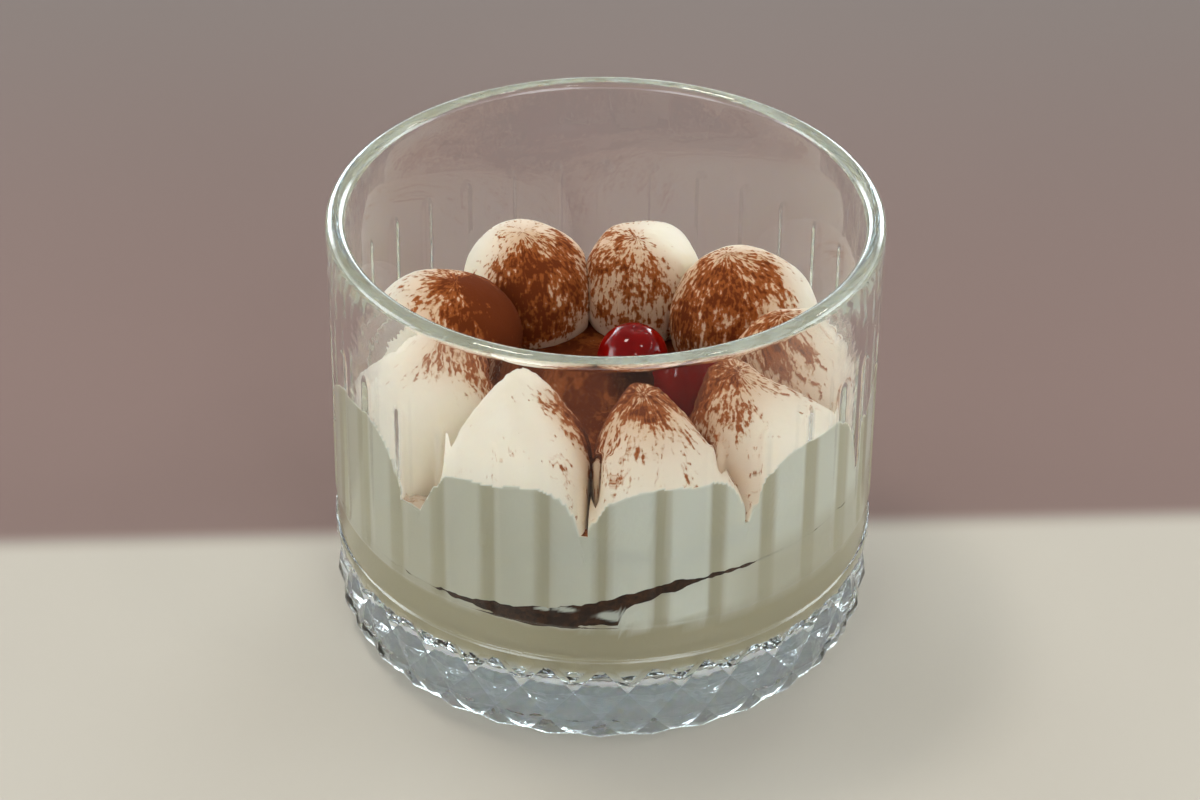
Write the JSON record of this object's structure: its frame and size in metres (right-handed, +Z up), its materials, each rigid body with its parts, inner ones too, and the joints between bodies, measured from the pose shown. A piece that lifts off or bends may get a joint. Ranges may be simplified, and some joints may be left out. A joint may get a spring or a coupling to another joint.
{
  "type": "tiramisu dessert in a glass",
  "caption": "Tiramisu in a short cut-glass tumbler: mascarpone cream layers, a ring of piped dollops, cocoa dusting and cherries.",
  "frame": {"origin": "middle of the tumbler's foot, on the surface it stands on", "axes": "+Z up through the glass's axis, -Y towards the front from which it is looked at"},
  "size_m": [0.0904, 0.0904, 0.075],
  "materials": {
    "clear_glass": "clear pressed glass with a faint aqua tint, polished",
    "cream": "smooth mascarpone cream, soft satin",
    "coffee": "dark coffee-soaked sponge and cocoa, moist",
    "cocoa_cream": "cream covered in dry cocoa powder, matt",
    "dusted_cream": "piped mascarpone cream dusted with streaks and specks of cocoa",
    "cherry": "glossy dark red candied cherry"
  },
  "bodies": {
    "root": {"glass": "clear_glass", "cream_lower": "cream", "coffee_layer": "coffee", "cream_upper": "cocoa_cream", "dollop_1": "dusted_cream", "dollop_2": "dusted_cream", "dollop_3": "dusted_cream", "dollop_4": "dusted_cream", "dollop_5": "dusted_cream", "dollop_6": "dusted_cream", "dollop_7": "dusted_cream", "dollop_8": "dusted_cream", "dollop_9": "dusted_cream", "cherry_1": "cherry", "cherry_2": "cherry"}
  },
  "joints": []
}
